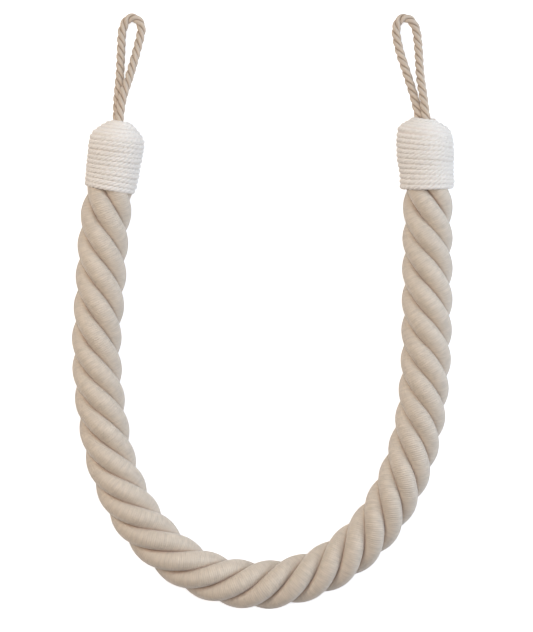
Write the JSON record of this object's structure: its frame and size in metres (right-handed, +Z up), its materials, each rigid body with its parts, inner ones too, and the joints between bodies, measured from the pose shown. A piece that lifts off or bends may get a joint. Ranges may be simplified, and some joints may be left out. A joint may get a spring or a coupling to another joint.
{
  "type": "curtain tieback",
  "caption": "Thick laid rope bent into a U, with a domed cord whipping and a thin cord loop at each end, for holding back a curtain.",
  "frame": {"origin": "middle of the bounding box, on the surface that the tieback lies on", "axes": "+Y from the bend of the U towards the loops, +X to the right seen from above, +Z up from the surface"},
  "size_m": [0.2366, 0.3705, 0.0357],
  "materials": {
    "rope_thread": "beige wound thread with a soft sheen",
    "cotton_cord": "off-white matte cotton",
    "loop_cord": "beige laid cord, matte"
  },
  "bodies": {
    "root": {"rope": "rope_thread", "whipping_left": "cotton_cord", "whipping_right": "cotton_cord", "loop_left": "loop_cord", "loop_right": "loop_cord"}
  },
  "joints": []
}
